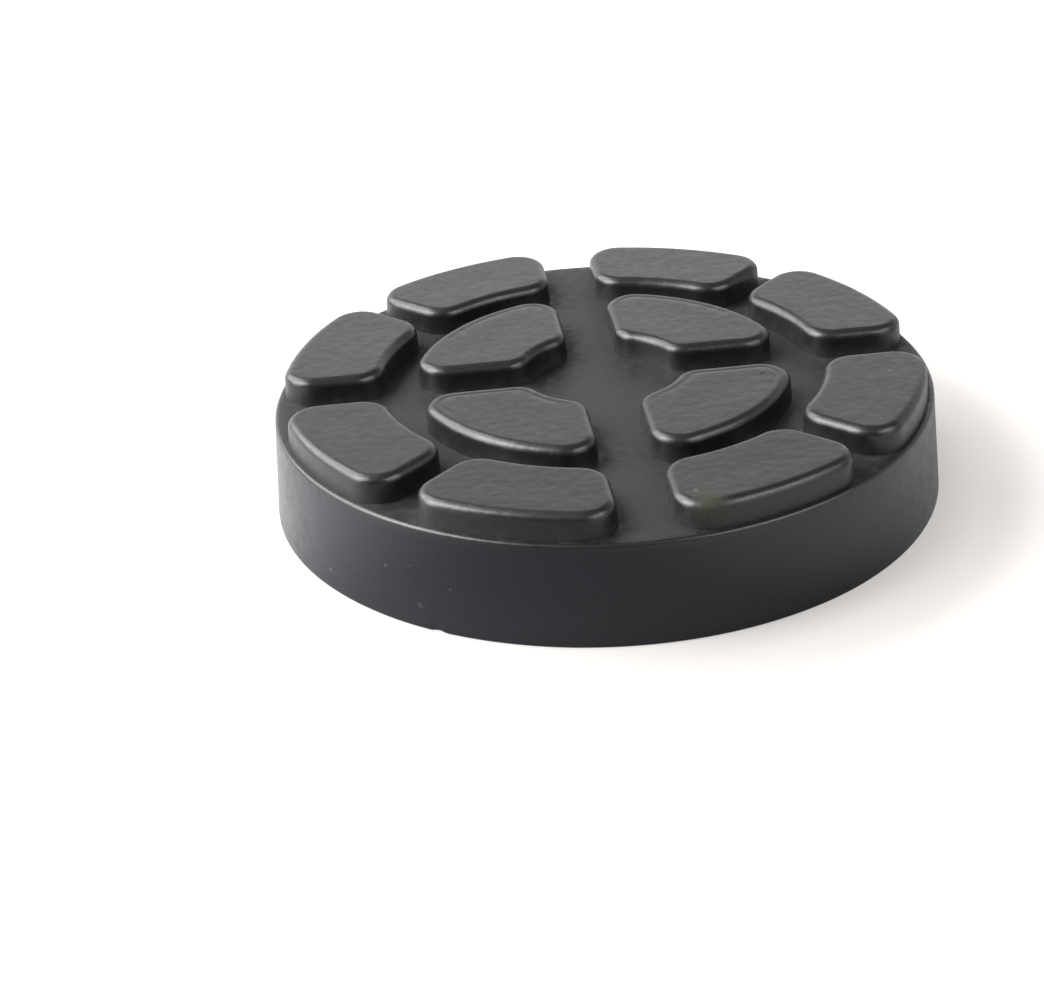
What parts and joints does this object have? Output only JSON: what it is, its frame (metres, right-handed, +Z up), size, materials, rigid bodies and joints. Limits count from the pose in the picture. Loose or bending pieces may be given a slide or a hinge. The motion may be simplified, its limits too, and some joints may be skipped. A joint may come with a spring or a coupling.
{
  "type": "lift arm rubber pad",
  "caption": "Round black rubber pad that slips over a vehicle lift arm's plate, with a plain skirt, a recess below and rounded lugs parted by crossing channels on top.",
  "frame": {"origin": "middle of the skirt's foot, where the pad stands", "axes": "+Z up through the deck to the lug tops; the two wide channels run along X and Y"},
  "size_m": [0.1222, 0.1222, 0.0237],
  "materials": {
    "moulded_rubber": "matte moulded black rubber, finely grained"
  },
  "bodies": {
    "root": {"rubber_pad": "moulded_rubber"}
  },
  "joints": []
}
